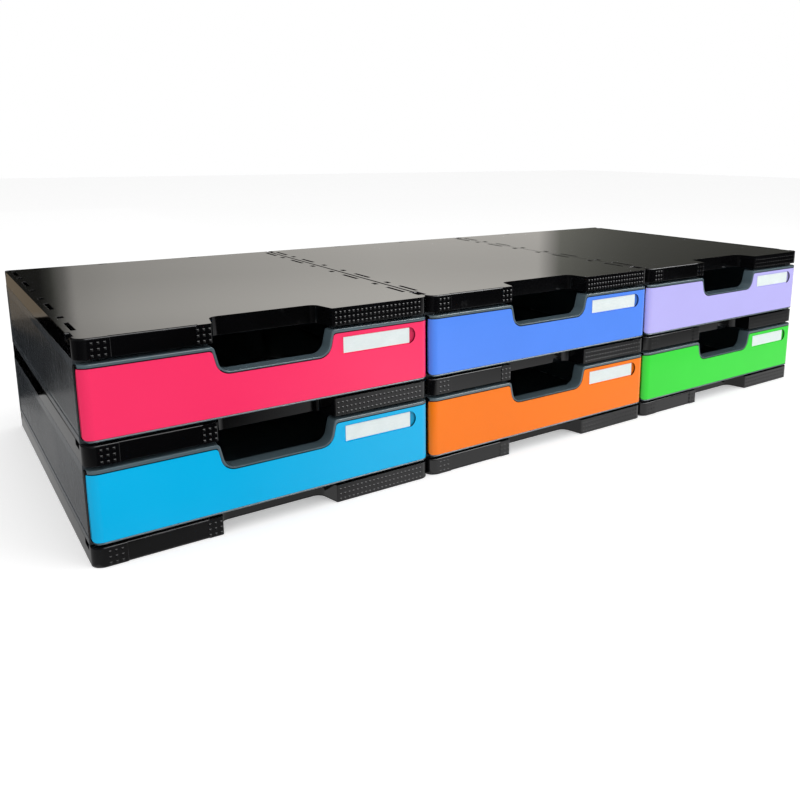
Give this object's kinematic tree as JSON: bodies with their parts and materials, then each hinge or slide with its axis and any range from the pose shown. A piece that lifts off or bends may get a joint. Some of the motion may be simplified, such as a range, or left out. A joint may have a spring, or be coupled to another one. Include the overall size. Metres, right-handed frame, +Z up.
{
  "type": "modular drawer document sorter",
  "caption": "Low wide desktop drawer sorter: side by side columns of stacked shallow drawers with coloured fronts in black casings.",
  "frame": {"origin": "on the floor plane, under the middle of the row", "axes": "+X along the row to the right seen from the front, +Y from the drawer fronts to the back, +Z up"},
  "size_m": [1.0162, 0.437, 0.2],
  "materials": {
    "casing": "black moulded polystyrene, satin gloss",
    "wall": "black moulded polystyrene, finely ribbed outside",
    "tray": "slate grey moulded polystyrene",
    "front_cyan": "opaque moulded polystyrene, smooth satin gloss",
    "front_orange": "opaque moulded polystyrene, smooth satin gloss",
    "front_green": "opaque moulded polystyrene, smooth satin gloss",
    "front_pink": "opaque moulded polystyrene, smooth satin gloss",
    "front_blue": "opaque moulded polystyrene, smooth satin gloss",
    "front_lilac": "opaque moulded polystyrene, smooth satin gloss",
    "card": "plain white card stock"
  },
  "bodies": {
    "housing": {"left_base": "casing", "centre_base": "casing", "right_base": "casing", "left_shelf": "casing", "centre_shelf": "casing", "right_shelf": "casing", "left_top": "casing", "centre_top": "casing", "right_top": "casing", "left_lower_wall_l": "wall", "centre_lower_wall_l": "wall", "right_lower_wall_l": "wall", "left_lower_wall_r": "wall", "centre_lower_wall_r": "wall", "right_lower_wall_r": "wall", "left_lower_back": "wall", "centre_lower_back": "wall", "right_lower_back": "wall", "left_upper_wall_l": "wall", "centre_upper_wall_l": "wall", "right_upper_wall_l": "wall", "left_upper_wall_r": "wall", "centre_upper_wall_r": "wall", "right_upper_wall_r": "wall", "left_upper_back": "wall", "centre_upper_back": "wall", "right_upper_back": "wall"},
    "left_lower_drawer": {"left_lower_tray": "tray", "left_lower_front": "front_cyan", "left_lower_label": "card"},
    "centre_lower_drawer": {"centre_lower_tray": "tray", "centre_lower_front": "front_orange", "centre_lower_label": "card"},
    "right_lower_drawer": {"right_lower_tray": "tray", "right_lower_front": "front_green", "right_lower_label": "card"},
    "left_upper_drawer": {"left_upper_tray": "tray", "left_upper_front": "front_pink", "left_upper_label": "card"},
    "centre_upper_drawer": {"centre_upper_tray": "tray", "centre_upper_front": "front_blue", "centre_upper_label": "card"},
    "right_upper_drawer": {"right_upper_tray": "tray", "right_upper_front": "front_lilac", "right_upper_label": "card"}
  },
  "joints": [
    {"name": "left_lower_slide", "type": "slide", "parent": "housing", "child": "left_lower_drawer", "axis": [0, -1, 0], "range_m": [0, 0.329]},
    {"name": "centre_lower_slide", "type": "slide", "parent": "housing", "child": "centre_lower_drawer", "axis": [0, -1, 0], "range_m": [0, 0.329]},
    {"name": "right_lower_slide", "type": "slide", "parent": "housing", "child": "right_lower_drawer", "axis": [0, -1, 0], "range_m": [0, 0.329]},
    {"name": "left_upper_slide", "type": "slide", "parent": "housing", "child": "left_upper_drawer", "axis": [0, -1, 0], "range_m": [0, 0.329]},
    {"name": "centre_upper_slide", "type": "slide", "parent": "housing", "child": "centre_upper_drawer", "axis": [0, -1, 0], "range_m": [0, 0.329]},
    {"name": "right_upper_slide", "type": "slide", "parent": "housing", "child": "right_upper_drawer", "axis": [0, -1, 0], "range_m": [0, 0.329]}
  ]
}
